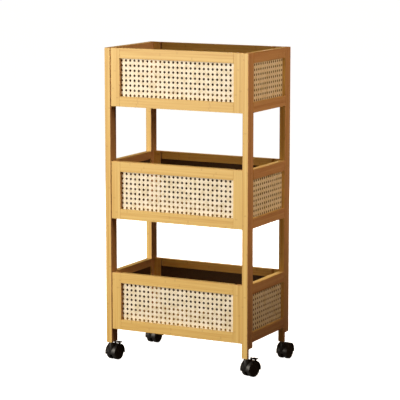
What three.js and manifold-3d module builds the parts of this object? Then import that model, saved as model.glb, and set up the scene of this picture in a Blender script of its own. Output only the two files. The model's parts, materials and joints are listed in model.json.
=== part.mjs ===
// Rolling utility cart: three cane-panelled tiers between four posts, on twin-wheel swivel casters.
// Millimetres, +Z up. X runs along the front of the cart, and the front faces -Y.

import * as THREE from 'three';
import { mergeVertices } from 'three/addons/utils/BufferGeometryUtils.js';
import Module from 'manifold-3d';

const wasm = await Module();
wasm.setup();

// Driving dimensions
const CART_WIDTH = 416;
const CART_DEPTH = 250;
const TIER_NAMES = ['lower', 'middle', 'upper'];
const TIER_HEIGHT = 152;
const TIER_GAP = 144;
const FOOT_DROP = 38;
const CASTER_HEIGHT = 50;
const FIT_GAP = 0.3;

// Wooden sections
const POST_WIDTH = 16.5;
const POST_DEPTH = 31;
const RAIL_HEIGHT = 26.5;
const STILE_WIDTH = 26.5;
const PANEL_THICKNESS = 14;
const PANEL_RECESS = 3;
const CANE_SETBACK = 8;
const CANE_THICKNESS = 1.5;
const REBATE = 6;
const BOARD_THICKNESS = 9;
const BOARD_LIFT = 8;
const EDGE_SOFTENING = 0.9;

// Foot of a post, below the lowest rail
const FULL_POST_DROP = 14;
const FOOT_TOE = 8.5;
const FOOT_HEEL = 4;

// Caster
const STEM_SETBACK = 10.5;
const STEM_RADIUS = 3.5;
const STEM_REACH = 28;
const PIN_RADIUS = 2.5;
const COLLAR_RADIUS = 5.6;
const TRAIL = 16.5;
const WHEEL_RADIUS = 20;
const WHEEL_WIDTH = 11;
const WEB_HALF = 3.7;
const WHEEL_CLEARANCE = 1;
const HOOD_WALL = 2.2;
const HOOD_HALF_WIDTH = 15.5;
const BOSS_RADIUS = 7.5;
const BOSS_TOP = CASTER_HEIGHT - 3.7;
const AXLE_RADIUS = 2;
const HUB_BORE = AXLE_RADIUS + FIT_GAP;
const ROUND_STEPS = 28;

// Brake lever
const PIVOT_REACH = 26.2;
const PIVOT_LEAN = 25;
const BARREL_RADIUS = 2.2;
const LEVER_HALF_WIDTH = 8.5;
const LEVER_LENGTH = 12;
const LEVER_THICKNESS = 2.4;
const EAR_INNER = 6.3;
const EAR_OUTER = 8.8;

const WOOD_FRONT = { color: 0xdfb46c, roughness: 0.55, metalness: 0 };
const WOOD_SIDE = { color: 0xb98a52, roughness: 0.55, metalness: 0 };
const CANE = { color: 0xf0dbb6, roughness: 0.7, metalness: 0 };
const BLACK_NYLON = { color: 0x1b1b1b, roughness: 0.45, metalness: 0 };
const BLACK_TREAD = { color: 0x242424, roughness: 0.6, metalness: 0 };
const ZINC = { color: 0xb9b6ae, roughness: 0.3, metalness: 1 };

const cart = new THREE.Group();

function addNode(parent, name, geometry, look) {
  const mesh = new THREE.Mesh(geometry, new THREE.MeshStandardMaterial(look));
  mesh.name = name;
  parent.add(mesh);
  return mesh;
}

// Booleans on closed meshes

function toSolid(geometry) {
  const plain = geometry.index ? geometry.toNonIndexed() : geometry.clone();
  plain.deleteAttribute('normal');
  plain.deleteAttribute('uv');
  const merged = mergeVertices(plain, 1e-4);
  return new wasm.Manifold(new wasm.Mesh({
    numProp: 3,
    vertProperties: new Float32Array(merged.attributes.position.array),
    triVerts: new Uint32Array(merged.index.array),
  }));
}

function toGeometry(solid) {
  const mesh = solid.getMesh();
  const geometry = new THREE.BufferGeometry();
  geometry.setAttribute('position', new THREE.BufferAttribute(mesh.vertProperties, 3));
  geometry.setIndex(new THREE.BufferAttribute(mesh.triVerts, 1));
  const faceted = geometry.toNonIndexed();
  faceted.computeVertexNormals();
  return faceted;
}

function subtract(geometry, ...tools) {
  let solid = toSolid(geometry);
  for (const tool of tools) {
    solid = solid.subtract(toSolid(tool));
  }
  return toGeometry(solid);
}

function unite(...geometries) {
  let solid = toSolid(geometries[0]);
  for (const geometry of geometries.slice(1)) {
    solid = solid.add(toSolid(geometry));
  }
  return toGeometry(solid);
}

// Building blocks

function block(low, high) {
  const size = high.map((value, axis) => value - low[axis]);
  const geometry = new THREE.BoxGeometry(...size);
  geometry.translate(...low.map((value, axis) => value + size[axis] / 2));
  return geometry;
}

// Outline of a rectangle with cut corners, for a bar with softened edges
function softRectangle(x0, y0, x1, y1, cut, PathType = THREE.Shape) {
  const outline = new PathType();
  outline.moveTo(x0 + cut, y0);
  outline.lineTo(x1 - cut, y0);
  outline.lineTo(x1, y0 + cut);
  outline.lineTo(x1, y1 - cut);
  outline.lineTo(x1 - cut, y1);
  outline.lineTo(x0 + cut, y1);
  outline.lineTo(x0, y1 - cut);
  outline.lineTo(x0, y0 + cut);
  outline.closePath();
  return outline;
}

// Extrudes an outline along +Z from 0 to length, with its end edges softened
function softExtrude(shape, length, softening = EDGE_SOFTENING, segments = 1) {
  const geometry = new THREE.ExtrudeGeometry(shape, {
    depth: length - 2 * softening,
    bevelEnabled: true,
    bevelThickness: softening,
    bevelSize: softening,
    bevelOffset: -softening,
    bevelSegments: segments,
    curveSegments: ROUND_STEPS,
  });
  geometry.translate(0, 0, softening);
  return geometry;
}

// Turns a solid that was extruded along Z so that its length runs along Y and its outline's Y is up
function layAlongY(geometry) {
  geometry.rotateX(Math.PI / 2);
  geometry.scale(1, -1, 1);
  return flipFaces(geometry);
}

function flipFaces(geometry) {
  const flat = geometry.index ? geometry.toNonIndexed() : geometry;
  const position = flat.attributes.position;
  for (let corner = 0; corner < position.count; corner += 3) {
    const second = new THREE.Vector3().fromBufferAttribute(position, corner + 1);
    const third = new THREE.Vector3().fromBufferAttribute(position, corner + 2);
    position.setXYZ(corner + 1, third.x, third.y, third.z);
    position.setXYZ(corner + 2, second.x, second.y, second.z);
  }
  flat.computeVertexNormals();
  return flat;
}

// A disc or tube about an axis along X, from x0 to x1, centred at (y, z)
function drumAlongX(radius, x0, x1, y, z, steps = ROUND_STEPS) {
  const geometry = new THREE.CylinderGeometry(radius, radius, x1 - x0, steps);
  geometry.rotateZ(Math.PI / 2);
  geometry.translate((x0 + x1) / 2, y, z);
  return geometry;
}

function drumAlongZ(radius, z0, z1, x, y, steps = ROUND_STEPS) {
  const geometry = new THREE.CylinderGeometry(radius, radius, z1 - z0, steps);
  geometry.rotateX(Math.PI / 2);
  geometry.translate(x, y, (z0 + z1) / 2);
  return geometry;
}

// Heights
const FOOT_BOTTOM = CASTER_HEIGHT;
const tierBottom = (tier) => CASTER_HEIGHT + FOOT_DROP + tier * (TIER_HEIGHT + TIER_GAP);
const POST_TOP = tierBottom(TIER_NAMES.length - 1) + TIER_HEIGHT;

// Mirrors a place measured inwards from the left side over to the right side
const acrossCart = (side, inset) => (side === 'left' ? inset : CART_WIDTH - inset);

// Posts: full section down to below the lowest rail, then a foot without its outer rear corner

function postGeometry(side) {
  const outward = side === 'left' ? -1 : 1;
  const innerFace = side === 'left' ? POST_WIDTH : CART_WIDTH - POST_WIDTH;
  const at = (distanceOut) => innerFace + outward * distanceOut;
  const low = Math.min(at(0), at(POST_WIDTH));
  const outline = softRectangle(low, 0, low + POST_WIDTH, POST_DEPTH, EDGE_SOFTENING);
  const bar = softExtrude(outline, POST_TOP - FOOT_BOTTOM);
  bar.translate(0, 0, FOOT_BOTTOM);

  const corner = new THREE.Shape();
  corner.moveTo(at(POST_WIDTH + 1), FOOT_TOE);
  corner.lineTo(at(POST_WIDTH), FOOT_TOE);
  corner.lineTo(at(FOOT_HEEL), POST_DEPTH);
  corner.lineTo(at(FOOT_HEEL), POST_DEPTH + 1);
  corner.lineTo(at(POST_WIDTH + 1), POST_DEPTH + 1);
  corner.closePath();
  const notchHeight = FOOT_DROP - FULL_POST_DROP + 1;
  const notch = new THREE.ExtrudeGeometry(corner, { depth: notchHeight, bevelEnabled: false });
  notch.translate(0, 0, FOOT_BOTTOM - 1);

  const bore = drumAlongZ(STEM_RADIUS + FIT_GAP, FOOT_BOTTOM - 1, FOOT_BOTTOM + STEM_REACH + FIT_GAP,
    at(POST_WIDTH / 2), STEM_SETBACK, 20);
  return subtract(bar, notch, bore);
}

const POST_PLACES = [
  { end: 'front', back: 0 },
  { end: 'back', back: CART_DEPTH - POST_DEPTH },
];

for (const { end, back } of POST_PLACES) {
  for (const side of ['left', 'right']) {
    const post = addNode(cart, `post_${end}_${side}`, postGeometry(side), WOOD_FRONT);
    post.position.y = back;
  }
}

// Side rails: flush with the posts, with a rebate on the inner side for the cane

function sideRailGeometry(upper) {
  const lip = upper ? -1 : 1;
  const edge = upper ? 0 : RAIL_HEIGHT;
  const outline = new THREE.Shape();
  outline.moveTo(0, RAIL_HEIGHT - edge);
  outline.lineTo(POST_WIDTH, RAIL_HEIGHT - edge);
  outline.lineTo(POST_WIDTH, edge - lip * REBATE);
  outline.lineTo(CANE_SETBACK, edge - lip * REBATE);
  outline.lineTo(CANE_SETBACK, edge);
  outline.lineTo(0, edge);
  outline.closePath();
  const length = CART_DEPTH - 2 * POST_DEPTH - 2 * FIT_GAP;
  const bar = new THREE.ExtrudeGeometry(outline, { depth: length, bevelEnabled: false });
  const placed = layAlongY(bar);
  placed.translate(0, POST_DEPTH + FIT_GAP, 0);
  return placed;
}

function sideCaneGeometry() {
  const length = CART_DEPTH - 2 * POST_DEPTH - 2 * FIT_GAP;
  const height = TIER_HEIGHT - 2 * RAIL_HEIGHT + 2 * REBATE - 2 * FIT_GAP;
  const sheet = new THREE.BoxGeometry(CANE_THICKNESS, length, height);
  sheet.translate(CANE_SETBACK + FIT_GAP + CANE_THICKNESS / 2, CART_DEPTH / 2, TIER_HEIGHT / 2);
  return sheet;
}

function mirrorAcross(geometry) {
  geometry.scale(-1, 1, 1);
  geometry.translate(CART_WIDTH, 0, 0);
  return flipFaces(geometry);
}

for (const side of ['left', 'right']) {
  const sided = (geometry) => (side === 'right' ? mirrorAcross(geometry) : geometry);
  TIER_NAMES.forEach((tier, index) => {
    const bottom = tierBottom(index);
    const upper = addNode(cart, `side_rail_${tier}_${side}_top`, sided(sideRailGeometry(true)), WOOD_SIDE);
    upper.position.z = bottom + TIER_HEIGHT - RAIL_HEIGHT;
    const lower = addNode(cart, `side_rail_${tier}_${side}_bottom`, sided(sideRailGeometry(false)), WOOD_SIDE);
    lower.position.z = bottom;
    const cane = addNode(cart, `side_cane_${tier}_${side}`, sided(sideCaneGeometry()), CANE);
    cane.position.z = bottom;
  });
}

// Framed panels: stiles and rails as one ring, rebated behind for the cane

const PANEL_LEFT = POST_WIDTH + FIT_GAP;
const PANEL_RIGHT = CART_WIDTH - POST_WIDTH - FIT_GAP;

function panelFrameGeometry() {
  const outline = softRectangle(PANEL_LEFT, 0, PANEL_RIGHT, TIER_HEIGHT, EDGE_SOFTENING);
  const left = PANEL_LEFT + STILE_WIDTH;
  const right = PANEL_RIGHT - STILE_WIDTH;
  const top = TIER_HEIGHT - RAIL_HEIGHT;
  const opening = new THREE.Path();
  opening.moveTo(left, RAIL_HEIGHT);
  opening.lineTo(left, top);
  opening.lineTo(right, top);
  opening.lineTo(right, RAIL_HEIGHT);
  opening.closePath();
  outline.holes.push(opening);
  const ring = layAlongY(softExtrude(outline, PANEL_THICKNESS));
  const rebate = block([left - REBATE, CANE_SETBACK, RAIL_HEIGHT - REBATE],
    [right + REBATE, PANEL_THICKNESS + 1, top + REBATE]);
  return subtract(ring, rebate);
}

function panelCaneGeometry() {
  const left = PANEL_LEFT + STILE_WIDTH - REBATE + FIT_GAP;
  const right = PANEL_RIGHT - STILE_WIDTH + REBATE - FIT_GAP;
  const bottom = RAIL_HEIGHT - REBATE + FIT_GAP;
  const near = CANE_SETBACK + FIT_GAP;
  return block([left, near, bottom], [right, near + CANE_THICKNESS, TIER_HEIGHT - bottom]);
}

function mirrorBackwards(geometry) {
  geometry.scale(1, -1, 1);
  return flipFaces(geometry);
}

for (const end of ['front', 'back']) {
  const ended = (geometry) => (end === 'back' ? mirrorBackwards(geometry) : geometry);
  const faceY = end === 'front' ? PANEL_RECESS : CART_DEPTH - PANEL_RECESS;
  TIER_NAMES.forEach((tier, index) => {
    const frame = addNode(cart, `panel_frame_${tier}_${end}`, ended(panelFrameGeometry()), WOOD_FRONT);
    frame.position.set(0, faceY, tierBottom(index));
    const cane = addNode(cart, `panel_cane_${tier}_${end}`, ended(panelCaneGeometry()), CANE);
    cane.position.set(0, faceY, tierBottom(index));
  });
}

// Shelf boards, between the rails and the panels

TIER_NAMES.forEach((tier, index) => {
  const sideClear = POST_WIDTH + FIT_GAP;
  const endClear = PANEL_RECESS + PANEL_THICKNESS + FIT_GAP;
  const outline = softRectangle(sideClear, endClear, CART_WIDTH - sideClear, CART_DEPTH - endClear, 0.5);
  const board = addNode(cart, `shelf_board_${tier}`, softExtrude(outline, BOARD_THICKNESS, 0.5), WOOD_FRONT);
  board.position.z = tierBottom(index) + BOARD_LIFT;
});

// Casters. Each is drawn about its swivel axis, with the floor at z = 0 and its wheels trailing to +Y.

const PIN_BOTTOM = BOSS_TOP - 9;
const HOOD_RADIUS = WHEEL_RADIUS + WHEEL_CLEARANCE + HOOD_WALL;

function lathe(profile, steps = ROUND_STEPS) {
  const points = profile.map(([radius, height]) => new THREE.Vector2(radius, height));
  return new THREE.LatheGeometry(points, steps);
}

// Stem: a bearing pin, a collar under the foot and a shank in the post
function stemGeometry() {
  const collarBottom = BOSS_TOP + FIT_GAP;
  const collarTop = CASTER_HEIGHT - FIT_GAP;
  const shankTop = CASTER_HEIGHT + STEM_REACH - 1;
  const stem = lathe([
    [0, PIN_BOTTOM],
    [PIN_RADIUS - 0.5, PIN_BOTTOM],
    [PIN_RADIUS, PIN_BOTTOM + 0.5],
    [PIN_RADIUS, collarBottom],
    [COLLAR_RADIUS, collarBottom],
    [COLLAR_RADIUS, collarTop],
    [STEM_RADIUS, collarTop],
    [STEM_RADIUS, shankTop - 1],
    [STEM_RADIUS - 1, shankTop],
    [0, shankTop],
  ], 20);
  stem.rotateX(Math.PI / 2);
  return stem;
}

// Hood: a curved cover over both wheels, the web between them, and the boss that takes the stem
function hoodGeometry(withEars) {
  const cover = drumAlongX(HOOD_RADIUS, -HOOD_HALF_WIDTH, HOOD_HALF_WIDTH, TRAIL, WHEEL_RADIUS, 36);
  const boss = drumAlongZ(BOSS_RADIUS, WHEEL_RADIUS, BOSS_TOP, 0, 0);
  const underHood = block([-30, -40, -10], [30, 80, WHEEL_RADIUS - 4]);
  let solid = toSolid(cover).add(toSolid(boss));
  if (withEars) {
    for (const direction of [-1, 1]) {
      const inner = direction * EAR_INNER;
      const outer = direction * EAR_OUTER;
      const x0 = Math.min(inner, outer);
      const x1 = Math.max(inner, outer);
      const ear = drumAlongX(BARREL_RADIUS + 0.8, x0, x1, PIVOT_Y, PIVOT_Z, 16);
      const neck = block([x0, PIVOT_Y - 2.4, PIVOT_Z - 6], [x1, PIVOT_Y + 2.4, PIVOT_Z]);
      solid = solid.add(toSolid(ear)).add(toSolid(neck));
    }
  }
  solid = solid.subtract(toSolid(underHood));
  const room = WHEEL_RADIUS + WHEEL_CLEARANCE;
  for (const direction of [-1, 1]) {
    const x0 = Math.min(direction * WEB_HALF, direction * 40);
    const x1 = Math.max(direction * WEB_HALF, direction * 40);
    solid = solid.subtract(toSolid(drumAlongX(room, x0, x1, TRAIL, WHEEL_RADIUS, 36)));
  }
  const hub = drumAlongX(9, -WEB_HALF, WEB_HALF, TRAIL, WHEEL_RADIUS, 20);
  solid = solid.add(toSolid(hub));
  const stemBore = drumAlongZ(PIN_RADIUS + FIT_GAP, PIN_BOTTOM - FIT_GAP, BOSS_TOP + 5, 0, 0, 20);
  const axleBore = drumAlongX(HUB_BORE, -10, 10, TRAIL, WHEEL_RADIUS, 16);
  solid = solid.subtract(toSolid(stemBore)).subtract(toSolid(axleBore));
  return toGeometry(solid);
}

function axleGeometry() {
  const half = WEB_HALF + FIT_GAP + WHEEL_WIDTH - 0.6;
  const axle = lathe([
    [0, -half],
    [AXLE_RADIUS - 0.4, -half],
    [AXLE_RADIUS, -half + 0.4],
    [AXLE_RADIUS, half - 0.4],
    [AXLE_RADIUS - 0.4, half],
    [0, half],
  ], 16);
  axle.rotateZ(-Math.PI / 2);
  return axle;
}

// Wheel: rounded tread, a dished outer face and a raised hub, bored for the axle
function wheelGeometry(direction) {
  const inner = WEB_HALF + FIT_GAP;
  const outer = inner + WHEEL_WIDTH;
  const wheel = lathe([
    [HUB_BORE, inner],
    [WHEEL_RADIUS - 1.2, inner],
    [WHEEL_RADIUS, inner + 1.2],
    [WHEEL_RADIUS, outer - 2.2],
    [WHEEL_RADIUS - 0.7, outer - 0.7],
    [WHEEL_RADIUS - 2.4, outer],
    [WHEEL_RADIUS - 4, outer - 1],
    [7, outer - 1],
    [6, outer],
    [HUB_BORE, outer],
    [HUB_BORE, inner],
  ], 32);
  wheel.rotateZ(-Math.PI / 2);
  if (direction > 0) {
    return wheel;
  }
  wheel.scale(-1, 1, 1);
  return flipFaces(wheel);
}

const leanRadians = THREE.MathUtils.degToRad(PIVOT_LEAN);
const PIVOT_Y = TRAIL + PIVOT_REACH * Math.sin(leanRadians);
const PIVOT_Z = WHEEL_RADIUS + PIVOT_REACH * Math.cos(leanRadians);

// Brake lever: a barrel between the hood's ears and a plate that is pressed down behind them
function leverGeometry() {
  const barrel = drumAlongX(BARREL_RADIUS, FIT_GAP - EAR_INNER, EAR_INNER - FIT_GAP, PIVOT_Y, PIVOT_Z, 16);
  const neckHalf = EAR_INNER - FIT_GAP;
  const top = PIVOT_Z + 0.6;
  const neck = block([-neckHalf, PIVOT_Y, top - LEVER_THICKNESS], [neckHalf, PIVOT_Y + 5, top]);
  const plate = softRectangle(-LEVER_HALF_WIDTH, PIVOT_Y + 4, LEVER_HALF_WIDTH, PIVOT_Y + LEVER_LENGTH, 1.6);
  const pedal = softExtrude(plate, LEVER_THICKNESS, 0.5);
  pedal.translate(0, 0, top - LEVER_THICKNESS);
  return unite(barrel, neck, pedal);
}

// Casters rest where they were last rolled, each turned a little about its stem
const CASTERS = [
  { place: 'front_left', side: 'left', back: 0, turn: -7.5, braked: true },
  { place: 'front_right', side: 'right', back: 0, turn: -16, braked: true },
  { place: 'back_left', side: 'left', back: CART_DEPTH - POST_DEPTH, turn: -2.5, braked: false },
  { place: 'back_right', side: 'right', back: CART_DEPTH - POST_DEPTH, turn: -2.5, braked: false },
];

for (const { place, side, back, turn, braked } of CASTERS) {
  const caster = new THREE.Group();
  caster.position.set(acrossCart(side, POST_WIDTH / 2), back + STEM_SETBACK, 0);
  caster.rotation.z = THREE.MathUtils.degToRad(turn);
  addNode(caster, `caster_stem_${place}`, stemGeometry(), ZINC);
  addNode(caster, `caster_hood_${place}`, hoodGeometry(braked), BLACK_NYLON);
  const axle = addNode(caster, `caster_axle_${place}`, axleGeometry(), ZINC);
  const left = addNode(caster, `caster_wheel_${place}_l`, wheelGeometry(-1), BLACK_TREAD);
  const right = addNode(caster, `caster_wheel_${place}_r`, wheelGeometry(1), BLACK_TREAD);
  for (const rolling of [axle, left, right]) {
    rolling.position.set(0, TRAIL, WHEEL_RADIUS);
  }
  if (braked) {
    addNode(caster, `brake_lever_${place}`, leverGeometry(), BLACK_NYLON);
  }
  cart.add(caster);
}

// The origin is under the middle of the whole cart
cart.updateMatrixWorld(true);
const bounds = new THREE.Box3().setFromObject(cart, true);
const middle = bounds.getCenter(new THREE.Vector3());
cart.position.set(-middle.x, -middle.y, -bounds.min.z);

export default cart;
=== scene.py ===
# Rolling utility cart: lacquered bamboo posts, rails and trays, woven cane panels, black swivel
# casters.
import json
import math

import bmesh
import bpy
from mathutils import Matrix, Vector

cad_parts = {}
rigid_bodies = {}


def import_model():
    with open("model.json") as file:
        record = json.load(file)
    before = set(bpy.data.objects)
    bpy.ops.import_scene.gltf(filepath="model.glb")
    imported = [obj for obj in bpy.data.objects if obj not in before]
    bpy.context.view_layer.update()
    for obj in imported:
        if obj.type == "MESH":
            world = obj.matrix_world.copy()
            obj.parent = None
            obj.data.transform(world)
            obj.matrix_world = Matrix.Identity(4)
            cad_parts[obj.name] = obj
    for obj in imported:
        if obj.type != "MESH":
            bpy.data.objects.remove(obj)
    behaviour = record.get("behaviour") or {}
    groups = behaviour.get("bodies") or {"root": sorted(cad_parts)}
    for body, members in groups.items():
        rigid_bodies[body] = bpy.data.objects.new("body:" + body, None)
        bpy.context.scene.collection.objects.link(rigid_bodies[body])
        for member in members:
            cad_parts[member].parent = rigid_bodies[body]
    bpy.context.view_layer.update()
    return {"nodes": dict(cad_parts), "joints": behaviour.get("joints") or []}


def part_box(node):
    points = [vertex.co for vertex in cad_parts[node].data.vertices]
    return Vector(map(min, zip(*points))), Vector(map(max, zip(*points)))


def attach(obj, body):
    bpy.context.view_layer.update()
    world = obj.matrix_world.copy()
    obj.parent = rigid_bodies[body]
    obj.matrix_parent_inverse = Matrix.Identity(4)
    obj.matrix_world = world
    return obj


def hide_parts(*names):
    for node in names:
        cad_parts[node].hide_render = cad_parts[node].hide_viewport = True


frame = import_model()


# Camera. A long lens in front of the cart and to its right, a little above its top, looking slightly
# down. The cart's nearest corner is its front right post.
FOCAL_LENGTH = 169.6
FAR_CLIP = 100
CAMERA_PLACE = (2.264, -4.350, 1.208)
DEGREES_DOWN = 9.03
DEGREES_TURNED = 27.53

camera_data = bpy.data.cameras.new("studio_camera")
camera_data.lens = FOCAL_LENGTH
camera_data.clip_end = FAR_CLIP
camera = bpy.data.objects.new("studio_camera", camera_data)
camera.location = CAMERA_PLACE
camera.rotation_euler = (math.radians(90 - DEGREES_DOWN), 0, math.radians(DEGREES_TURNED))
bpy.context.scene.collection.objects.link(camera)
bpy.context.scene.camera = camera


# Studio. A pale floor under a wide pale dome, so that every side has the same plain background. They
# neither light the cart nor show in its lacquer.
PAPER_WHITE = "#F7F7F6"
PAPER_GLOW = 1.06
FLOOR_HALF_WIDTH = 30
DOME_RADIUS = 25
DOME_SEGMENTS = 48
DOME_RINGS = 24
CLEAR_OF_WHEELS = 0.0005


def linear_colour(hex_code):
    channels = [int(hex_code[i:i + 2], 16) / 255 for i in (1, 3, 5)]
    return [c / 12.92 if c <= 0.04045 else ((c + 0.055) / 1.055) ** 2.4 for c in channels] + [1]


def add_node(material, kind, settings=None, **links):
    """Adds a shader node, sets its properties and inputs, and links inputs to nodes or sockets.

    A node stands for its first output. _2 is input number 2, and Base_Color is Base Color.
    """
    node = material.node_tree.nodes.new(kind)
    for name, value in (settings or {}).items():
        if isinstance(name, int) or name in node.inputs:
            node.inputs[name].default_value = value
        else:
            setattr(node, name, value)
    for name, source in links.items():
        place = int(name[1:]) if name[1:].isdigit() else name.replace("_", " ")
        output = source if isinstance(source, bpy.types.NodeSocket) else source.outputs[0]
        material.node_tree.links.new(output, node.inputs[place])
    return node


def new_material(name):
    material = bpy.data.materials.new(name)
    material.use_nodes = True
    material.node_tree.nodes.clear()
    return material


def finish_material(material, surface, **links):
    shader = add_node(material, "ShaderNodeBsdfPrincipled", surface, **links)
    add_node(material, "ShaderNodeOutputMaterial", Surface=shader)
    return material


# Matt white background paper, lit evenly
paper = new_material("matt_paper_sweep")
finish_material(paper, {"Base Color": linear_colour(PAPER_WHITE), "Roughness": 0.9,
                        "Emission Color": linear_colour(PAPER_WHITE), "Emission Strength": PAPER_GLOW})

floor_mesh = bmesh.new()
bmesh.ops.create_grid(floor_mesh, x_segments=1, y_segments=1, size=FLOOR_HALF_WIDTH)
dome_mesh = bmesh.new()
bmesh.ops.create_uvsphere(dome_mesh, u_segments=DOME_SEGMENTS, v_segments=DOME_RINGS, radius=DOME_RADIUS)
for name, mesh in (("studio_floor", floor_mesh), ("studio_backdrop", dome_mesh)):
    sweep_data = bpy.data.meshes.new(name)
    mesh.to_mesh(sweep_data)
    mesh.free()
    sweep_data.materials.append(paper)
    sweep = bpy.data.objects.new(name, sweep_data)
    sweep.location.z = -CLEAR_OF_WHEELS
    sweep.visible_diffuse = False
    sweep.visible_glossy = False
    sweep.visible_shadow = False
    bpy.context.scene.collection.objects.link(sweep)


# Lights. One wide soft key from the front left, a small warm fill from the right, one wide light
# behind, and a dim warm room, so that the cart's right side is in brown shade.
ROOM_COLOUR = "#FFC49A"
ROOM_STRENGTH = 0.055


def soft_box(name, place, aim, size, watts, colour):
    """A square soft light at place, turned to aim."""
    light_data = bpy.data.lights.new(name, "AREA")
    light_data.energy = watts
    light_data.size = size
    light_data.color = linear_colour(colour)[:3]
    light = bpy.data.objects.new(name, light_data)
    light.location = place
    light.rotation_euler = (Vector(aim) - Vector(place)).to_track_quat("-Z", "Y").to_euler()
    bpy.context.scene.collection.objects.link(light)
    return light


key = soft_box("key_light", place=(-1.4, -3.1, 1.35), aim=(0, 0, 0.36), size=1.8, watts=130,
               colour="#FFF4E4")
soft_box("warm_fill", place=(1.7, -0.25, 1.2), aim=(0.2, 0, 0.6), size=0.6, watts=15.5,
         colour="#FFD6A8")
back_light = soft_box("back_light", place=(-0.6, 2.3, 1.6), aim=(0, 0, 0.4), size=1.2, watts=75,
                      colour="#FFF2E2")
back_light.visible_glossy = False

room = bpy.data.worlds.new("dim_warm_room")
room.use_nodes = True
room.node_tree.nodes["Background"].inputs["Color"].default_value = linear_colour(ROOM_COLOUR)
room.node_tree.nodes["Background"].inputs["Strength"].default_value = ROOM_STRENGTH
bpy.context.scene.world = room
bpy.context.scene.view_settings.view_transform = "Standard"

flagged_off_key = bpy.data.collections.new("flagged_off_key")
key.light_linking.receiver_collection = flagged_off_key


def flag_off_key(piece):
    """Keeps the key light off a piece inside the trays, where a loaded cart is in shade."""
    flagged_off_key.objects.link(piece)
    flagged_off_key.collection_objects[-1].light_linking.link_state = "EXCLUDE"


# Shade card. A card on edge on the floor to the right, which only casts a shadow: it keeps the warm
# fill off the cart's lowest right corner, and neither the camera nor the lacquer sees it.
CARD_MIDDLE = (0.9, 0, 0.3)
CARD_HALF_HEIGHT = 0.3
CARD_HALF_LENGTH = 1

on_edge = Matrix.Rotation(math.pi / 2, 4, "Y") @ Matrix.Diagonal((CARD_HALF_HEIGHT, CARD_HALF_LENGTH, 1, 1))
card_mesh = bmesh.new()
bmesh.ops.create_grid(card_mesh, x_segments=1, y_segments=1, size=1,
                      matrix=Matrix.Translation(CARD_MIDDLE) @ on_edge)
card_data = bpy.data.meshes.new("shade_card")
card_mesh.to_mesh(card_data)
card_mesh.free()
card_data.materials.append(paper)
shade_card = bpy.data.objects.new("shade_card", card_data)
shade_card.visible_camera = False
shade_card.visible_diffuse = False
shade_card.visible_glossy = False
bpy.context.scene.collection.objects.link(shade_card)


# Corner posts. Solid laminated bamboo, 16.5 x 31 mm, planed, edges eased, sealed with satin lacquer.
# Each foot loses its outer rear corner below the lowest tray, and is drilled from below for a stem.
X, Y, Z = 0, 1, 2
MM = 0.001
SIDES = ("left", "right")
ENDS = ("front", "back")

STRIP_WIDTH = 6.6 * MM
STRIP_SHARE = 0.2
SEAM_SHARE_OF_STRIP = 0.035
SEAM_STRENGTH = 0.28
SEAM_DEPTH = -0.6
STREAK_SHARE = 0.5
FIBRE_SHARE = 0.42
KNUCKLE_SPACING = 210 * MM
KNUCKLE_WOBBLE = 0.02
KNUCKLE_STRENGTH = 0.3
LACQUER_ROUGHNESS = 0.46
LACQUER_SPREAD = 0.16


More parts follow.
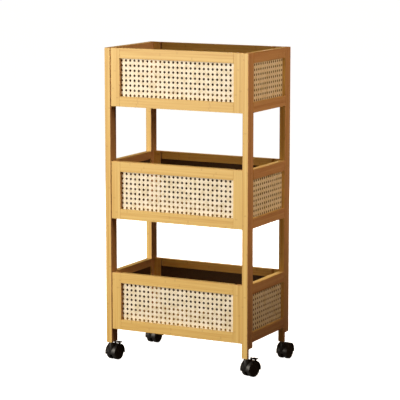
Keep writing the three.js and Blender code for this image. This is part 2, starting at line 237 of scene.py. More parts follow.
def bamboo(name, pale, mid, deep, knuckle):
    """Bamboo board under satin lacquer, in narrow strips glued edge to edge.

    It has fine straight fibres, each strip is a little lighter or darker, and each has a knuckle now
    and then. The colours are hex codes.
    """
    material = new_material(name)
    place = add_node(material, "ShaderNodeUVMap", {"uv_map": "grain"})
    split = add_node(material, "ShaderNodeSeparateXYZ", _0=place)
    strips_across = add_node(material, "ShaderNodeMath", {"operation": "DIVIDE", 1: STRIP_WIDTH},
                             _0=split.outputs["Y"])
    strip = add_node(material, "ShaderNodeMath", {"operation": "FLOOR"}, _0=strips_across)
    strip_tone = add_node(material, "ShaderNodeTexWhiteNoise", {"noise_dimensions": "1D"}, W=strip)

    # Fibres 0.6 mm wide and about 90 mm long, and broader streaks 4 mm wide
    fibre_place = add_node(material, "ShaderNodeMapping", {"Scale": (11, 1700, 1)}, Vector=place)
    fibres = add_node(material, "ShaderNodeTexNoise", {"Scale": 1.0, "Detail": 4.0, "Roughness": 0.6},
                      Vector=fibre_place)
    streak_place = add_node(material, "ShaderNodeMapping", {"Scale": (5, 260, 1)}, Vector=place)
    streaks = add_node(material, "ShaderNodeTexNoise", {"Scale": 1.0, "Detail": 2.0}, Vector=streak_place)

    # Knuckles, at a different place along each strip
    along = add_node(material, "ShaderNodeMath", {"operation": "DIVIDE", 1: KNUCKLE_SPACING},
                     _0=split.outputs["X"])
    shifted = add_node(material, "ShaderNodeMath", {"operation": "ADD"}, _0=along, _1=strip_tone)
    wobble = add_node(material, "ShaderNodeMath", {"operation": "MULTIPLY_ADD", 1: KNUCKLE_WOBBLE},
                      _0=fibres, _2=shifted)
    cycle = add_node(material, "ShaderNodeMath", {"operation": "FRACT"}, _0=wobble)
    knuckles = add_node(material, "ShaderNodeValToRGB", Fac=cycle)
    ramp = knuckles.color_ramp
    ramp.elements[0].position = 0.0
    ramp.elements[0].color = (0, 0, 0, 1)
    ramp.elements[1].position = 0.972
    ramp.elements[1].color = (0, 0, 0, 1)
    for position, value in ((0.984, 1), (0.99, 0.55), (1.0, 0)):
        ramp.elements.new(position).color = (value, value, value, 1)
    knuckle_strength = add_node(material, "ShaderNodeMath", {"operation": "MULTIPLY", 1: KNUCKLE_STRENGTH},
                                _0=knuckles)

    # Dark glue line between strips
    from_edge = add_node(material, "ShaderNodeMath", {"operation": "FRACT"}, _0=strips_across)
    seam = add_node(material, "ShaderNodeMath", {"operation": "COMPARE", 1: 0.0, 2: SEAM_SHARE_OF_STRIP},
                    _0=from_edge)
    seam_strength = add_node(material, "ShaderNodeMath", {"operation": "MULTIPLY", 1: SEAM_STRENGTH},
                             _0=seam)

    # Colour: strips, streaks and fibres added up, then the glue lines and the knuckles over them
    strip_share = add_node(material, "ShaderNodeMath", {"operation": "MULTIPLY", 1: STRIP_SHARE},
                           _0=strip_tone)
    streak_share = add_node(material, "ShaderNodeMath", {"operation": "MULTIPLY_ADD", 1: STREAK_SHARE},
                            _0=streaks, _2=strip_share)
    tone = add_node(material, "ShaderNodeMath", {"operation": "MULTIPLY_ADD", 1: FIBRE_SHARE},
                    _0=fibres, _2=streak_share)
    colour = add_node(material, "ShaderNodeValToRGB", Fac=tone)
    ramp = colour.color_ramp
    ramp.elements[0].position = 0.32
    ramp.elements[0].color = linear_colour(deep)
    ramp.elements[1].position = 0.76
    ramp.elements[1].color = linear_colour(pale)
    ramp.elements.new(0.52).color = linear_colour(mid)
    with_seams = add_node(material, "ShaderNodeMix", {"data_type": "RGBA", 7: linear_colour(knuckle)},
                          _0=seam_strength, _6=colour)
    with_knuckles = add_node(material, "ShaderNodeMix", {"data_type": "RGBA", 7: linear_colour(knuckle)},
                             _0=knuckle_strength, _6=with_seams.outputs[2])

    # Lacquer: a little uneven, and sunk at the glue lines
    sheen = add_node(material, "ShaderNodeMath", {"operation": "MULTIPLY_ADD", 1: LACQUER_SPREAD,
                                                  2: LACQUER_ROUGHNESS - LACQUER_SPREAD / 2}, _0=streaks)
    relief = add_node(material, "ShaderNodeMath", {"operation": "MULTIPLY_ADD", 1: SEAM_DEPTH},
                      _0=seam, _2=fibres)
    bump = add_node(material, "ShaderNodeBump", {"Strength": 0.25, "Distance": 0.0002}, Height=relief)
    return finish_material(material, {"IOR": 1.42, "Coat Weight": 0.12, "Coat Roughness": 0.3},
                           Base_Color=with_knuckles.outputs[2], Roughness=sheen, Normal=bump)


def bamboo_end(name, pale, deep):
    """Sawn bamboo ends: dots of dark fibre bundles in a paler ground."""
    material = new_material(name)
    place = add_node(material, "ShaderNodeUVMap", {"uv_map": "grain"})
    bundles = add_node(material, "ShaderNodeTexVoronoi", {"Scale": 1100.0, "Randomness": 0.9}, Vector=place)
    colour = add_node(material, "ShaderNodeValToRGB", Fac=bundles.outputs["Distance"])
    colour.color_ramp.elements[0].position = 0.12
    colour.color_ramp.elements[0].color = linear_colour(deep)
    colour.color_ramp.elements[1].position = 0.5
    colour.color_ramp.elements[1].color = linear_colour(pale)
    bump = add_node(material, "ShaderNodeBump", {"Strength": 0.3, "Distance": 0.0002},
                    Height=bundles.outputs["Distance"])
    return finish_material(material, {"Roughness": 0.6, "Coat Weight": 0.15, "Coat Roughness": 0.4},
                           Base_Color=colour, Normal=bump)


# Honey-coloured bamboo in front and behind, a darker, browner copy of it as painted shade on the faces
# turned to the sides, and sawn ends. A stick's faces take them in this order.
WIDE_FACE, SAWN_END, SIDE_FACE = 0, 1, 2
honey_bamboo = bamboo("satin_lacquered_bamboo", pale="#EACB80", mid="#DFBC6E", deep="#CC9F52",
                      knuckle="#A87B42")
# Painted shade: a darker, browner copy of the bamboo for the faces turned to the sides
shaded_side_bamboo = bamboo("edge_pressed_bamboo", pale="#CEA97A", mid="#C2976C", deep="#AB7B53",
                     knuckle="#8A5D3E")
honey_end = bamboo_end("lacquered_bamboo_end_grain", pale="#D8A862", deep="#A97A40")
BAMBOO = [honey_bamboo, honey_end, shaded_side_bamboo]

FACING = 0.8
HALF_FACING = 0.6
CUT_STEP_ALONG = 0.37
CUT_STEP_ACROSS = 0.0531
SECOND_FACE_SHIFT = 0.013
FIRST_CUT = 40
WELD = 0.01 * MM
FLAT_WITHIN = 1
SHARP_FROM = 32


def lay_grain(bm, faces, along, cut):
    """UV in metres, U along the grain and V across it, and each face's material.

    along is the stick's axis, and cut says where in the board it was sawn.
    """
    grain = bm.loops.layers.uv.get("grain") or bm.loops.layers.uv.new("grain")
    first, second = [axis for axis in (X, Y, Z) if axis != along]
    for face in faces:
        normal = face.normal
        if abs(normal[along]) > FACING:
            face.material_index = SAWN_END
            u_axis, v_axis = first, second
        else:
            # Faces turned to the sides take the darker bamboo, which is painted shade
            face.material_index = SIDE_FACE if abs(normal.x) > HALF_FACING else WIDE_FACE
            u_axis = along
            v_axis = first if abs(normal[first]) < abs(normal[second]) else second
        shift = SECOND_FACE_SHIFT if v_axis == first else 0.0
        for loop in face.loops:
            place = loop.vert.co
            loop[grain].uv = (place[u_axis] + CUT_STEP_ALONG * cut,
                              place[v_axis] + CUT_STEP_ACROSS * cut + shift)


def merged_copy(node):
    """The CAD node's mesh with its loose triangles joined and its flat faces made whole."""
    bm = bmesh.new()
    bm.from_mesh(frame["nodes"][node].data)
    bmesh.ops.remove_doubles(bm, verts=bm.verts, dist=WELD)
    bmesh.ops.dissolve_limit(bm, angle_limit=math.radians(FLAT_WITHIN), verts=bm.verts, edges=bm.edges)
    for layer in list(bm.loops.layers.uv):
        bm.loops.layers.uv.remove(layer)
    return bm


def put_piece(bm, name, body, materials, stands_for=(), smooth=False):
    """Makes the finished mesh an object at the origin, gives it its materials and rides it on its body."""
    data = bpy.data.meshes.new(name)
    bm.to_mesh(data)
    bm.free()
    for material in materials:
        data.materials.append(material)
    if smooth:
        data.shade_smooth()
        data.set_sharp_from_angle(angle=math.radians(SHARP_FROM))
    piece = bpy.data.objects.new(name, data)
    bpy.context.scene.collection.objects.link(piece)
    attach(piece, body)
    if stands_for:
        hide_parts(*stands_for)
    return piece


# Every stick is sawn from another place in the board, so that no two show the same grain
cut_number = FIRST_CUT
for end in ENDS:
    for side in SIDES:
        node = f"post_{end}_{side}"
        post = merged_copy(node)
        cut_number += 1
        lay_grain(post, post.faces, Z, cut_number)
        piece = put_piece(post, f"bamboo_{node}", "root", BAMBOO, [node])
        if node == "post_back_right":
            flag_off_key(piece)


# Side rails. A pair on each side of each tray, of the posts' bamboo, tenoned between the posts and
# flush with them. The inner edge that faces the opening is rebated, and the cane lies in the rebate.
TIERS = ("lower", "middle", "upper")
EDGE_ROUND = 0.8 * MM
REBATE = 6 * MM
CANE_GAP = 0.3 * MM


def stick(bm, outline, along, start, end, rounding, cut):
    """A straight bar: outline is a list of places across the other two axes, in X, Y, Z order."""
    first, second = [axis for axis in (X, Y, Z) if axis != along]
    corners = []
    for across in outline:
        place = [0.0, 0.0, 0.0]
        place[along] = start
        place[first], place[second] = across
        corners.append(bm.verts.new(place))
    cap = bm.faces.new(corners)
    grown = bmesh.ops.extrude_face_region(bm, geom=[cap])["geom"]
    far = [v for v in grown if isinstance(v, bmesh.types.BMVert)]
    move = Vector((0, 0, 0))
    move[along] = end - start
    bmesh.ops.translate(bm, verts=far, vec=move)
    faces = list({face for vert in corners + far for face in vert.link_faces})
    bmesh.ops.recalc_face_normals(bm, faces=faces)
    edges = list({edge for face in faces for edge in face.edges})
    rounded = bmesh.ops.bevel(bm, geom=edges, offset=rounding, segments=2, profile=0.5, affect="EDGES",
                              material=-1)
    bm.normal_update()
    lay_grain(bm, {face for vert in rounded["verts"] for face in vert.link_faces}, along, cut)


for tier in TIERS:
    for side in SIDES:
        cane_low, cane_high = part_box(f"side_cane_{tier}_{side}")
        for edge in ("top", "bottom"):
            node = f"side_rail_{tier}_{side}_{edge}"
            low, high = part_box(node)
            outer, inner = (low.x, high.x) if side == "left" else (high.x, low.x)
            step = cane_low.x - CANE_GAP if side == "left" else cane_high.x + CANE_GAP
            back_edge, lip = (high.z, low.z) if edge == "top" else (low.z, high.z)
            shoulder = lip + REBATE if edge == "top" else lip - REBATE
            outline = [(outer, back_edge), (inner, back_edge), (inner, shoulder), (step, shoulder),
                       (step, lip), (outer, lip)]
            rail = bmesh.new()
            cut_number += 1
            stick(rail, outline, Y, low.y, high.y, EDGE_ROUND, cut_number)
            put_piece(rail, f"bamboo_{node}", "root", BAMBOO, [node])


# Framed panels. Two full-height bamboo stiles with rails glued between them, 14 mm thick, rebated
# behind the opening for the cane. One in front and one behind each tray, glued between the posts.
STILE = 26.5 * MM
RAIL = 26.5 * MM
RAIL_ROUND = 0.4 * MM
FACE_TO_CANE = 8 * MM


def take_in(bm, other):
    """Adds the faces of other to bm, and frees other."""
    data = bpy.data.meshes.new("taken_in")
    other.to_mesh(data)
    other.free()
    bm.from_mesh(data)
    bpy.data.meshes.remove(data)


for tier in TIERS:
    for end in ENDS:
        node = f"panel_frame_{tier}_{end}"
        low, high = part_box(node)
        face, behind = (low.y, high.y) if end == "front" else (high.y, low.y)
        step = face + FACE_TO_CANE if end == "front" else face - FACE_TO_CANE
        panel = bmesh.new()
        for outside, inward in ((low.x, 1), (high.x, -1)):
            lip = outside + inward * STILE
            shoulder = lip - inward * REBATE
            outline = [(outside, face), (lip, face), (lip, step), (shoulder, step),
                       (shoulder, behind), (outside, behind)]
            cut_number += 1
            stick(panel, outline, Z, low.z, high.z, EDGE_ROUND, cut_number)
        for outside, inward in ((low.z, 1), (high.z, -1)):
            lip = outside + inward * RAIL
            shoulder = lip - inward * REBATE
            outline = [(face, outside), (face, lip), (step, lip), (step, shoulder),
                       (behind, shoulder), (behind, outside)]
            cut_number += 1
            rail = bmesh.new()
            stick(rail, outline, X, low.x + STILE, high.x - STILE, RAIL_ROUND, cut_number)
            take_in(panel, rail)
        piece = put_piece(panel, f"bamboo_{node}", "root", BAMBOO, [node])
        if end == "back":
            flag_off_key(piece)


# Tray floors. Bamboo board 9 mm thick, let in between the panels and the rails, on two cleats that
# are glued and pinned behind the panels' lower rails.
BOARD_ROUND = 0.6 * MM
CLEAT_WIDTH = 8 * MM
CLEAT_DROP = 7.6 * MM
CLEAT_GAP = 0.1 * MM
CLEAT_SHORT_BY = 40 * MM


def rectangle(x0, y0, x1, y1):
    return [(x0, y0), (x1, y0), (x1, y1), (x0, y1)]


for tier in TIERS:
    node = f"shelf_board_{tier}"
    low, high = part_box(node)
    board = bmesh.new()
    cut_number += 1
    stick(board, rectangle(low.y, low.z, high.y, high.z), X, low.x, high.x, BOARD_ROUND, cut_number)
    flag_off_key(put_piece(board, f"bamboo_{node}", "root", BAMBOO, [node]))
    for end in ENDS:
        near = low.y if end == "front" else high.y - CLEAT_WIDTH
        outline = rectangle(near, low.z - CLEAT_DROP, near + CLEAT_WIDTH, low.z - CLEAT_GAP)
        cleat = bmesh.new()
        cut_number += 1
        stick(cleat, outline, X, low.x + CLEAT_SHORT_BY, high.x - CLEAT_SHORT_BY, BOARD_ROUND, cut_number)
        put_piece(cleat, f"board_cleat_{tier}_{end}", "root", BAMBOO)


# Woven cane. Half-inch open webbing: paired upright and level strands plaited over and under each
# other, with a single strand on each diagonal. Split cane, glossy outside, 2.9 mm wide, laid in the
# rebates of the frames and rails.
FRONT_PITCH = Vector((12.6 * MM, 12.9 * MM))
SIDE_PITCH = Vector((12.4 * MM, 12.9 * MM))
FRONT_FIRST_HOLE = Vector((1.8 * MM, 5.7 * MM))
SIDE_FIRST_HOLE = Vector((9.7 * MM, 6.3 * MM))
PAIR_HALF_GAP = 1.6 * MM
STRAND_WIDTH = 2.9 * MM
STRAND_THICKNESS = 0.42 * MM
PLAIT_RISE = 0.24 * MM
DIAGONAL_RISE = 0.4 * MM
UPRIGHT_STEPS = 6
DIAGONAL_STEPS = 3
STRAND_WELD = 0.02 * MM
SPARE_CELLS = 2
GRAIN_SHIFT = 3
GRAIN_SHARE = 0.4
GRAIN_DEPTH = 0.12
SKIN_CROWN = -160000.0


def cane_material(name, pale, mid, dark):
    """Bare split cane: a hard shiny skin with fine lengthwise grain, each strand its own shade of straw."""
    material = new_material(name)
    place = add_node(material, "ShaderNodeUVMap", {"uv_map": "strand"})
    grain_place = add_node(material, "ShaderNodeMapping", {"Scale": (60, 4200, 1)}, Vector=place)
    grain = add_node(material, "ShaderNodeTexNoise", {"Scale": 1.0, "Detail": 2.0}, Vector=grain_place)
    spot = add_node(material, "ShaderNodeTexCoord")
    patches = add_node(material, "ShaderNodeTexNoise", {"Scale": 85.0, "Detail": 2.0},
                       Vector=spot.outputs["Object"])
    tone = add_node(material, "ShaderNodeMath", {"operation": "MULTIPLY_ADD", 1: GRAIN_SHARE},
                    _0=grain, _2=patches)
    colour = add_node(material, "ShaderNodeValToRGB", Fac=tone)
    colour.color_ramp.elements[0].position = 0.5
    colour.color_ramp.elements[0].color = linear_colour(dark)
    colour.color_ramp.elements[1].position = 0.86
    colour.color_ramp.elements[1].color = linear_colour(pale)
    colour.color_ramp.elements.new(0.7).color = linear_colour(mid)

    # The skin is crowned across the strand, highest in the middle
    split = add_node(material, "ShaderNodeSeparateXYZ", _0=place)
    off_middle = add_node(material, "ShaderNodeMath", {"operation": "POWER", 1: 2.0}, _0=split.outputs["Y"])
    crown = add_node(material, "ShaderNodeMath", {"operation": "MULTIPLY", 1: SKIN_CROWN}, _0=off_middle)
    relief = add_node(material, "ShaderNodeMath", {"operation": "MULTIPLY_ADD", 1: GRAIN_DEPTH},
                      _0=grain, _2=crown)
    bump = add_node(material, "ShaderNodeBump", {"Strength": 0.6, "Distance": 0.0003}, Height=relief)
    return finish_material(material, {"Roughness": 0.42, "IOR": 1.5, "Coat Weight": 0.15,
                                      "Coat Roughness": 0.3}, Base_Color=colour, Normal=bump)


split_cane = cane_material("split_cane_webbing", pale="#FAF3E1", mid="#F4ECD5", dark="#E6DABA")


def strand(bm, begin, finish, steps, height_at):
    """A flat strand from begin to finish, whose height along it is height_at(0..1)."""
    run = finish - begin
    along = run.normalized()
    across = Vector((-along.y, along.x))
    made = bmesh.ops.create_grid(bm, x_segments=steps, y_segments=1, size=0.5)["verts"]
    uv = bm.loops.layers.uv.get("strand") or bm.loops.layers.uv.new("strand")
    for face in {f for v in made for f in v.link_faces}:
        for loop in face.loops:
            place = loop.vert.co
            loop[uv].uv = (place.x * run.length + begin.x * GRAIN_SHIFT, place.y * STRAND_WIDTH)
    for vert in made:
        travelled = vert.co.x + 0.5
        flat = begin + run * travelled + across * (vert.co.y * STRAND_WIDTH)
        vert.co = Vector((flat.x, flat.y, height_at(travelled)))


def over(travelled):
    return PLAIT_RISE * math.sin(2 * math.pi * travelled)


def under(travelled):
    return -over(travelled)


def sinking(travelled):
    return DIAGONAL_RISE * math.cos(math.pi * travelled)


def rising(travelled):
    return -sinking(travelled)


def cane_cell(pitch):
    """One repeat of the weave, around one hole, from crossing to crossing."""
    bm = bmesh.new()
    p, q = pitch
    near, far_x, far_y = PAIR_HALF_GAP, p - PAIR_HALF_GAP, q - PAIR_HALF_GAP
    strand(bm, Vector((near, 0)), Vector((near, q)), UPRIGHT_STEPS, over)
    strand(bm, Vector((far_x, 0)), Vector((far_x, q)), UPRIGHT_STEPS, under)
    strand(bm, Vector((0, near)), Vector((p, near)), UPRIGHT_STEPS, under)
    strand(bm, Vector((0, far_y)), Vector((p, far_y)), UPRIGHT_STEPS, over)
    left, right = Vector((0, q / 2)), Vector((p, q / 2))
    top, bottom = Vector((p / 2, q)), Vector((p / 2, 0))
    strand(bm, left, top, DIAGONAL_STEPS, sinking)
    strand(bm, right, bottom, DIAGONAL_STEPS, sinking)
    strand(bm, left, bottom, DIAGONAL_STEPS, rising)
    strand(bm, right, top, DIAGONAL_STEPS, rising)
    bmesh.ops.recalc_face_normals(bm, faces=bm.faces)
    return bm


def repeat(bm, count, step):
    """Lays copies of everything in bm side by side."""
    pattern = list(bm.verts) + list(bm.edges) + list(bm.faces)
    for number in range(1, count):
        copied = bmesh.ops.duplicate(bm, geom=pattern)["geom"]
        verts = [v for v in copied if isinstance(v, bmesh.types.BMVert)]
        bmesh.ops.translate(bm, verts=verts, vec=step * number)


def woven_panel(width, height, pitch, first_hole):
    """Webbing in the XY plane, cut to width x height from the origin.

    first_hole is the first hole's place, right and down from the top left corner.
    """
    p, q = pitch
    bm = cane_cell(pitch)
    repeat(bm, math.ceil(width / p) + SPARE_CELLS, Vector((p, 0, 0)))
    repeat(bm, math.ceil(height / q) + SPARE_CELLS, Vector((0, q, 0)))
    bmesh.ops.remove_doubles(bm, verts=bm.verts, dist=STRAND_WELD)
    first_x = first_hole.x - p / 2
    first_y = height - first_hole.y - q / 2
    start_x = first_x - math.ceil(first_x / p) * p
    start_y = first_y - math.ceil(first_y / q) * q
    bmesh.ops.translate(bm, verts=bm.verts, vec=Vector((start_x, start_y, 0)))
    for place, outward in (((0, 0, 0), (-1, 0, 0)), ((0, 0, 0), (0, -1, 0)),
                           ((width, 0, 0), (1, 0, 0)), ((0, height, 0), (0, 1, 0))):
        geometry = list(bm.verts) + list(bm.edges) + list(bm.faces)
        bmesh.ops.bisect_plane(bm, geom=geometry, plane_co=place, plane_no=outward, clear_outer=True)
    return bm


def hang_cane(bm, node, stand_up):
    """Stands the webbing up in its place and gives the strands their thickness."""
    bmesh.ops.transform(bm, matrix=stand_up, verts=bm.verts)
    piece = put_piece(bm, f"woven_{node}", "root", [split_cane], [node])
    thickness = piece.modifiers.new("strand_thickness", "SOLIDIFY")
    thickness.thickness = STRAND_THICKNESS
    thickness.offset = 0


facing_front = Matrix.Rotation(math.pi / 2, 4, "X")
facing_side = Matrix.Rotation(math.pi / 2, 4, "Z") @ facing_front
for tier in TIERS:
    for end in ENDS:
        node = f"panel_cane_{tier}_{end}"
        low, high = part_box(node)
        in_rebate = Vector((REBATE - CANE_GAP, REBATE - CANE_GAP))
        webbing = woven_panel(high.x - low.x, high.z - low.z, FRONT_PITCH, FRONT_FIRST_HOLE + in_rebate)
        corner = (low.x, (low.y + high.y) / 2, low.z)
        hang_cane(webbing, node, Matrix.Translation(corner) @ facing_front)
    for side in SIDES:
        node = f"side_cane_{tier}_{side}"
        low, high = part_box(node)
        in_rebate = Vector((0, REBATE - CANE_GAP))
        webbing = woven_panel(high.y - low.y, high.z - low.z, SIDE_PITCH, SIDE_FIRST_HOLE + in_rebate)
        corner = ((low.x + high.x) / 2, low.y, low.z)
        hang_cane(webbing, node, Matrix.Translation(corner) @ facing_side)


# Behind the cane. The front panels' cane is held by thin bamboo beads pinned into the rebate. At the
# sides and the back a thin dark brown board is set there instead, as painted shade behind the holes.
BEAD = 5.4 * MM
BEAD_GAP = 0.2 * MM
BEAD_ROUND = 0.5 * MM
BACKING_THICKNESS = 3 * MM
BACKING_ROUND = 0.3 * MM

# Dark brown board with small darker flecks, its darkness painted shade seen through the cane's holes
shade_dark_board = new_material("tempered_brown_hardboard")
board_place = add_node(shade_dark_board, "ShaderNodeTexCoord")
flecks = add_node(shade_dark_board, "ShaderNodeTexNoise", {"Scale": 700.0, "Detail": 4.0, "Roughness": 0.7},
                  Vector=board_place.outputs["Object"])
painted_shade_tone = add_node(shade_dark_board, "ShaderNodeValToRGB", Fac=flecks)
painted_shade_tone.color_ramp.elements[0].position = 0.35
painted_shade_tone.color_ramp.elements[0].color = linear_colour("#33231A")
painted_shade_tone.color_ramp.elements[1].position = 0.65
painted_shade_tone.color_ramp.elements[1].color = linear_colour("#523B2A")
board_relief = add_node(shade_dark_board, "ShaderNodeBump", {"Strength": 0.2, "Distance": 0.0002},
                        Height=flecks)
finish_material(shade_dark_board, {"Roughness": 0.6}, Base_Color=painted_shade_tone, Normal=board_relief)


def put_shade_backing(name, outline, along, start, end):
    """A dark backing board inside the tray, painted shade behind the cane. All three kinds of its faces
    take the dark board.
    """
    backing = bmesh.new()
    stick(backing, outline, along, start, end, BACKING_ROUND, 0)
    flag_off_key(put_piece(backing, name, "root", [shade_dark_board] * 3))


for tier in TIERS:
    low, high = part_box(f"panel_cane_{tier}_front")
    near, far = high.y + BEAD_GAP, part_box(f"panel_frame_{tier}_front")[1].y
    beads = bmesh.new()
    for x in (low.x, high.x - BEAD):
        cut_number += 1
        stick(beads, rectangle(x, near, x + BEAD, far), Z, low.z, high.z, BEAD_ROUND, cut_number)
    level_beads = bmesh.new()
    for z in (low.z, high.z - BEAD):
        cut_number += 1
        stick(level_beads, rectangle(near, z, far, z + BEAD), X, low.x + BEAD, high.x - BEAD,
              BEAD_ROUND, cut_number)
    take_in(beads, level_beads)
    put_piece(beads, f"cane_beads_{tier}_front", "root", BAMBOO)

    # Dark backing boards behind the back and side cane: painted shade seen through the holes
    low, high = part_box(f"panel_cane_{tier}_back")
    far = low.y - CANE_GAP
    put_shade_backing(f"shade_backing_board_{tier}_back", rectangle(far - BACKING_THICKNESS, low.z, far, high.z),
                X, low.x, high.x)
    for side in SIDES:
        low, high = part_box(f"side_cane_{tier}_{side}")
        near = high.x + CANE_GAP if side == "left" else low.x - CANE_GAP - BACKING_THICKNESS
        put_shade_backing(f"shade_backing_board_{tier}_{side}",
                    rectangle(near, low.z, near + BACKING_THICKNESS, high.z), Y, low.y, high.y)


# Caster bodies. Furniture casters: a zinc-plated stem pressed into the foot, a moulded black nylon
# hood that swivels on it, and a zinc-plated steel axle pressed through the hood.
STEM_ROUND = 0.25 * MM
STEM_SHARPER_THAN = 40
NYLON_ROUND = 0.5 * MM
NYLON_SHARPER_THAN = 35
GLOSS_SPREAD = 0.2
DARKER = 0.8
PALER = 1.35
PLATE_ROUGHNESS = 0.2


def moulded(name, colour, roughness, grit):
    """Injection-moulded plastic with the fine spark-eroded texture of its mould."""
    material = new_material(name)
    place = add_node(material, "ShaderNodeTexCoord")
    texture = add_node(material, "ShaderNodeTexNoise", {"Scale": grit, "Detail": 3.0},
                       Vector=place.outputs["Object"])
    smears = add_node(material, "ShaderNodeTexNoise", {"Scale": 60.0, "Detail": 3.0},
                      Vector=place.outputs["Object"])
    shade = add_node(material, "ShaderNodeValToRGB", Fac=smears)
    base = linear_colour(colour)
    shade.color_ramp.elements[0].position = 0.3
    shade.color_ramp.elements[0].color = [c * DARKER for c in base[:3]] + [1]
    shade.color_ramp.elements[1].position = 0.72
    shade.color_ramp.elements[1].color = [c * PALER for c in base[:3]] + [1]
    gloss = add_node(material, "ShaderNodeMath", {"operation": "MULTIPLY_ADD", 1: GLOSS_SPREAD,
                                                  2: roughness - GLOSS_SPREAD / 2}, _0=smears)
    bump = add_node(material, "ShaderNodeBump", {"Strength": 0.2, "Distance": 0.0002}, Height=texture)
    return finish_material(material, {"IOR": 1.5}, Base_Color=shade, Roughness=gloss, Normal=bump)


def plated(name, colour):
    """Turned steel with bright zinc plate: faint rings round the shank."""
    material = new_material(name)
    place = add_node(material, "ShaderNodeTexCoord")
    rings_place = add_node(material, "ShaderNodeMapping", {"Scale": (40, 40, 5000)},
                           Vector=place.outputs["Object"])
    rings = add_node(material, "ShaderNodeTexNoise", {"Scale": 1.0, "Detail": 1.0}, Vector=rings_place)
    gloss = add_node(material, "ShaderNodeMath", {"operation": "MULTIPLY_ADD", 1: GLOSS_SPREAD,
                                                  2: PLATE_ROUGHNESS}, _0=rings)
    bump = add_node(material, "ShaderNodeBump", {"Strength": 0.15, "Distance": 0.0001}, Height=rings)
    return finish_material(material, {"Base Color": linear_colour(colour), "Metallic": 1.0},
                           Roughness=gloss, Normal=bump)


# Black nylon with a satin moulded skin, and zinc plate on steel
black_nylon = moulded("moulded_black_nylon", "#1B1B1C", roughness=0.42, grit=2500.0)
zinc_plate = plated("bright_zinc_plate", "#C9C5BA")


def round_edges(bm, width, sharper_than):
    """Rounds the edges that turn by more than sharper_than degrees."""
    edges = [e for e in bm.edges if e.is_manifold and e.calc_face_angle(0) > math.radians(sharper_than)]
    bmesh.ops.bevel(bm, geom=edges, offset=width, segments=2, profile=0.5, affect="EDGES", material=-1,
                    clamp_overlap=True)


def joints_of(kind):
    return [joint for joint in frame["joints"] if joint["name"].startswith(kind)]


for joint in joints_of("swivel"):
    body = joint["child"]
    place = body.replace("caster_", "")
    stem = merged_copy(f"caster_stem_{place}")
    round_edges(stem, STEM_ROUND, STEM_SHARPER_THAN)
    put_piece(stem, f"plated_stem_{place}", "root", [zinc_plate], [f"caster_stem_{place}"],
              smooth=True)
    hood = merged_copy(f"caster_hood_{place}")
    round_edges(hood, NYLON_ROUND, NYLON_SHARPER_THAN)
    put_piece(hood, f"nylon_hood_{place}", body, [black_nylon], [f"caster_hood_{place}"],
              smooth=True)
    axle = merged_copy(f"caster_axle_{place}")
    put_piece(axle, f"plated_axle_{place}", body, [zinc_plate], [f"caster_axle_{place}"],
              smooth=True)


# Wheels. Two 40 mm nylon wheels on each axle, with a softer tread moulded round the rim, and a nylon
# cap pressed into each hub to hide the axle's end.
WHEEL_STEPS = 64
WHEEL_INNER_FACE = 4.0 * MM
WHEEL_OUTER_FACE = 15.0 * MM
WHEEL_BORE = 2.3 * MM
WHEEL_INNER_ROUND = 1.2 * MM
INNER_ROUND_STEPS = 5
WHEEL_OUTER_ROUND = 2.4 * MM
OUTER_ROUND_STEPS = 6
TREAD_DEPTH = 2.5 * MM
CAP_STEPS = 32
# Half sections here and below are (along the axle, radius) in mm
CAP_SECTION = ((14.4, 0), (14.4, 4.4), (15.0, 4.4), (15.25, 4.1), (15.4, 3.2), (15.45, 0))
BODY_OF_WHEEL, TREAD = 0, 1

# Black tread rubber, duller than the nylon
soft_tread = moulded("black_tread_rubber", "#232323", roughness=0.58, grit=1800.0)


def wheel_section(radius):
    """Half section of a wheel, from the bore's inner edge round the tread to the hub: (along, radius)."""
    inner, outer, bore = WHEEL_INNER_FACE, WHEEL_OUTER_FACE, WHEEL_BORE
    # Inner face: the hub, a shallow dish, and the rim
    dish = inner + 1.2 * MM
    points = [(inner, bore), (inner, 5.5 * MM), (dish, 6.2 * MM), (dish, radius - 3.4 * MM),
              (inner, radius - 2.6 * MM), (inner, radius - WHEEL_INNER_ROUND)]
    # Rounded edges of the tread
    for number in range(1, INNER_ROUND_STEPS + 1):
        turn = math.pi / 2 * number / INNER_ROUND_STEPS
        points.append((inner + WHEEL_INNER_ROUND * (1 - math.cos(turn)),
                       radius - WHEEL_INNER_ROUND * (1 - math.sin(turn))))
    for number in range(OUTER_ROUND_STEPS + 1):
        turn = math.pi / 2 * number / OUTER_ROUND_STEPS
        points.append((outer - WHEEL_OUTER_ROUND * (1 - math.sin(turn)),
                       radius - WHEEL_OUTER_ROUND * (1 - math.cos(turn))))
    # Outer face: a groove inside the rim, a nearly flat disc, and the raised hub
    points += [(outer, radius - 3.2 * MM), (outer - 0.5 * MM, radius - 3.7 * MM),
               (outer - 1.1 * MM, radius - 4.3 * MM), (outer - 0.9 * MM, radius - 9 * MM),
               (outer - 0.7 * MM, 7.2 * MM), (outer - 0.2 * MM, 6.8 * MM), (outer, 6.3 * MM),
               (outer, bore + 0.3 * MM), (outer - 0.3 * MM, bore), (inner, bore)]
    return points


def turned(section, steps, tread_from=math.inf):
    """Spins (along, radius) points about the X axis. Faces beyond the radius tread_from are tread."""
    bm = bmesh.new()
    verts = [bm.verts.new((along, 0, radius)) for along, radius in section]
    edges = [bm.edges.new(pair) for pair in zip(verts, verts[1:])]
    bmesh.ops.spin(bm, geom=verts + edges, cent=(0, 0, 0), axis=(1, 0, 0), angle=2 * math.pi,
                   steps=steps, use_merge=True)
    bmesh.ops.remove_doubles(bm, verts=bm.verts, dist=WELD / 2)
    bmesh.ops.recalc_face_normals(bm, faces=bm.faces)
    for face in bm.faces:
        middle = face.calc_center_median()
        outside = math.hypot(middle.y, middle.z) > tread_from
        face.material_index = TREAD if outside else BODY_OF_WHEEL
    return bm


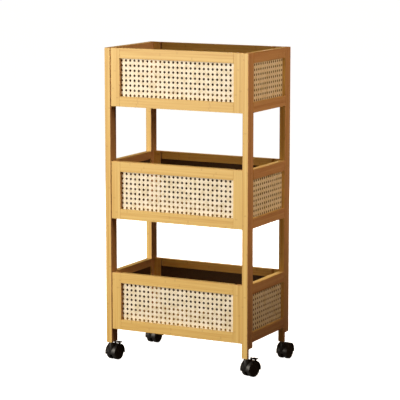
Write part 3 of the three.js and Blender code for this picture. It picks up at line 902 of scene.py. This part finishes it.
def fit_on_axle(bm, joint, turned_round=False):
    """Moves what was turned about the X axis onto the joint's axle, end for end if turned_round."""
    if turned_round:
        bmesh.ops.rotate(bm, verts=bm.verts, cent=(0, 0, 0), matrix=Matrix.Rotation(math.pi, 3, "Z"))
    heading = math.atan2(joint["axis"][1], joint["axis"][0])
    onto_axle = Matrix.Translation(joint["pos_m"]) @ Matrix.Rotation(heading, 4, "Z")
    bmesh.ops.transform(bm, matrix=onto_axle, verts=bm.verts)


def in_metres(section):
    return [(along * MM, radius * MM) for along, radius in section]


for joint in joints_of("roll"):
    body = joint["child"]
    place = body.replace("wheel_", "")
    node = f"caster_wheel_{place}"
    is_left = place.endswith("_l")
    low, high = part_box(node)
    radius = (high.z - low.z) / 2
    wheel = turned(wheel_section(radius), WHEEL_STEPS, tread_from=radius - TREAD_DEPTH)
    fit_on_axle(wheel, joint, turned_round=is_left)
    put_piece(wheel, f"nylon_{node}", body, [black_nylon, soft_tread], [node], smooth=True)
    cap = turned(in_metres(CAP_SECTION), CAP_STEPS)
    fit_on_axle(cap, joint, turned_round=is_left)
    put_piece(cap, f"hub_cap_{place}", body, [black_nylon], smooth=True)


# Brake levers. Nylon pedals on the two front hoods, hinged on a steel pin between two ears. They
# stand raised and are trodden down to hold the wheels.
PIN_STEPS = 24
HALF_PIN = ((-9.2, 0), (-9.2, 1.0), (-9.0, 1.2), (-8.8, 1.2), (-8.8, 0.9))
PIN_SECTION = HALF_PIN + tuple((-along, radius) for along, radius in reversed(HALF_PIN))

for joint in joints_of("brake"):
    place = joint["child"].replace("lever_", "")
    node = f"brake_lever_{place}"
    pedal = merged_copy(node)
    round_edges(pedal, NYLON_ROUND, NYLON_SHARPER_THAN)
    put_piece(pedal, f"nylon_pedal_{place}", joint["child"], [black_nylon], [node],
              smooth=True)
    pin = turned(in_metres(PIN_SECTION), PIN_STEPS)
    fit_on_axle(pin, joint)
    put_piece(pin, f"pedal_pin_{place}", joint["parent"], [zinc_plate], smooth=True)
